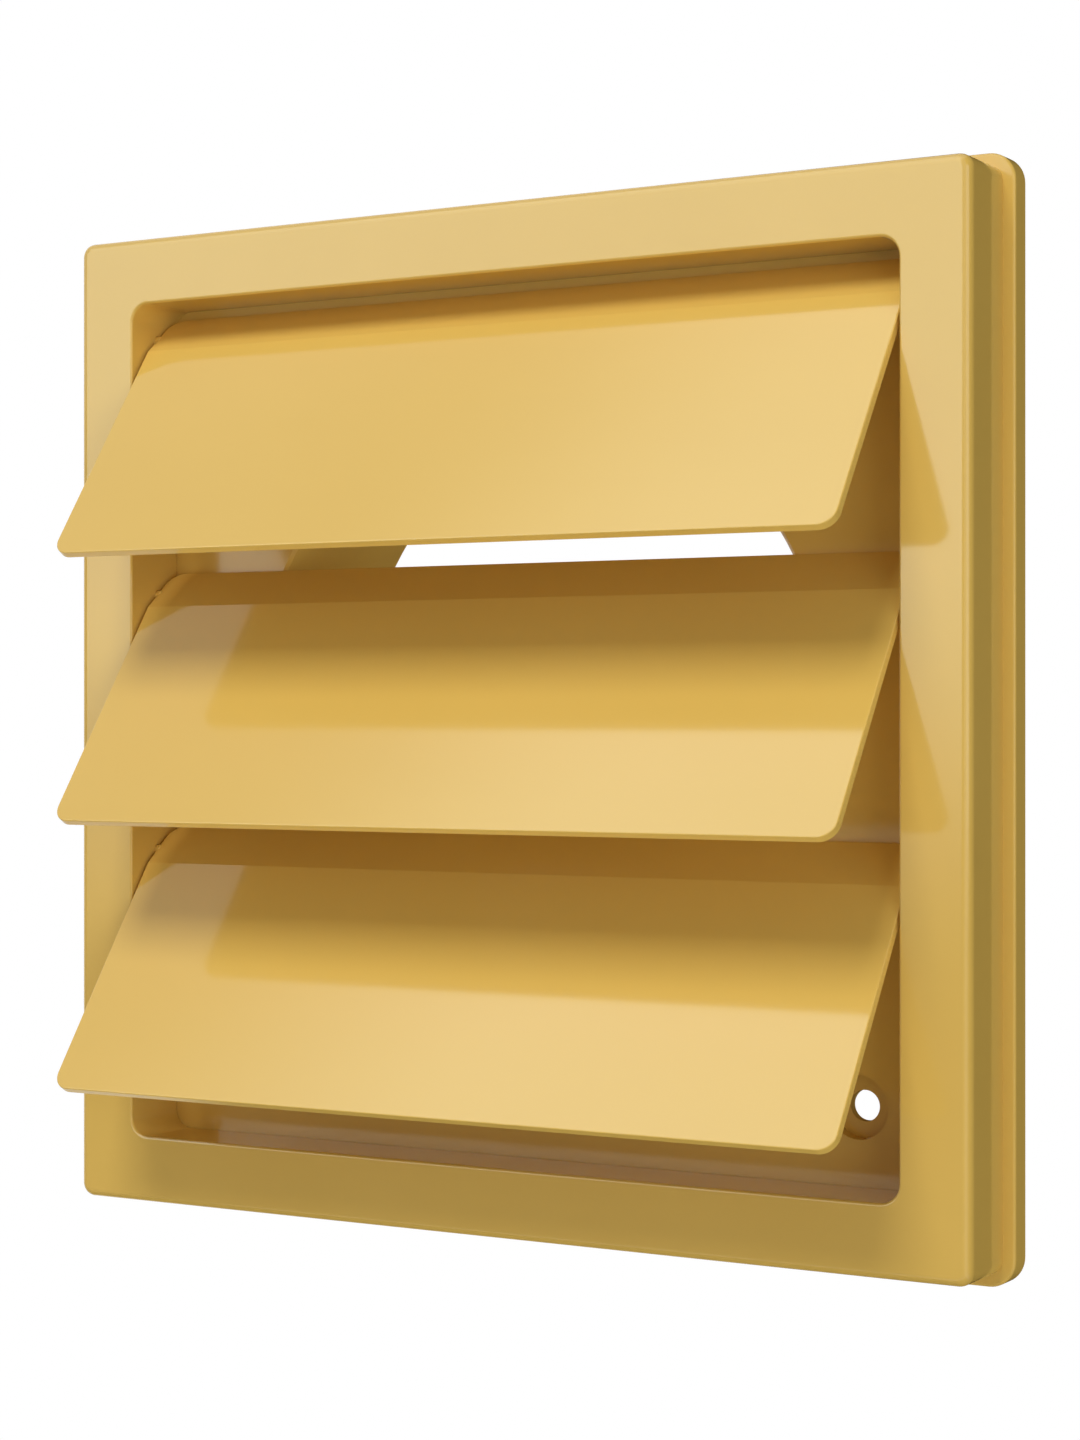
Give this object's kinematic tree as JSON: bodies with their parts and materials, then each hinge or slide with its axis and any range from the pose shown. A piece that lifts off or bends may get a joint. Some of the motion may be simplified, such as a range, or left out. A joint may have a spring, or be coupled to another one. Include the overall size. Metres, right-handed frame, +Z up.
{
  "type": "wall vent outlet",
  "caption": "Square wall vent outlet with hinged gravity flaps in a moulded frame, on a back plate with a round duct spigot.",
  "frame": {"origin": "on the duct axis, in the plane of the plate's back rim, which is the wall's face", "axes": "+Y along the duct into the wall, -Y out of the front, +X to the right as seen from the front, +Z up"},
  "size_m": [0.15, 0.059, 0.15],
  "materials": {
    "body_plastic": "glossy golden-yellow moulded plastic",
    "flap_plastic": "glossy golden-yellow moulded plastic"
  },
  "bodies": {
    "housing": {"front_frame": "body_plastic", "back_plate": "body_plastic"},
    "upper_flap": {"flap_upper": "flap_plastic"},
    "middle_flap": {"flap_middle": "flap_plastic"},
    "lower_flap": {"flap_lower": "flap_plastic"}
  },
  "joints": [
    {"name": "upper_flap_hinge", "type": "hinge", "parent": "housing", "child": "upper_flap", "pos_m": [0, -0.0084, 0.0583], "axis": [-1, 0, 0], "range_deg": [-26.7, 15.8]},
    {"name": "middle_flap_hinge", "type": "hinge", "parent": "housing", "child": "middle_flap", "pos_m": [0, -0.0084, 0.01915], "axis": [-1, 0, 0], "range_deg": [-26.7, 15.8]},
    {"name": "lower_flap_hinge", "type": "hinge", "parent": "housing", "child": "lower_flap", "pos_m": [0, -0.0084, -0.02], "axis": [-1, 0, 0], "range_deg": [-26.7, 15.8]}
  ]
}
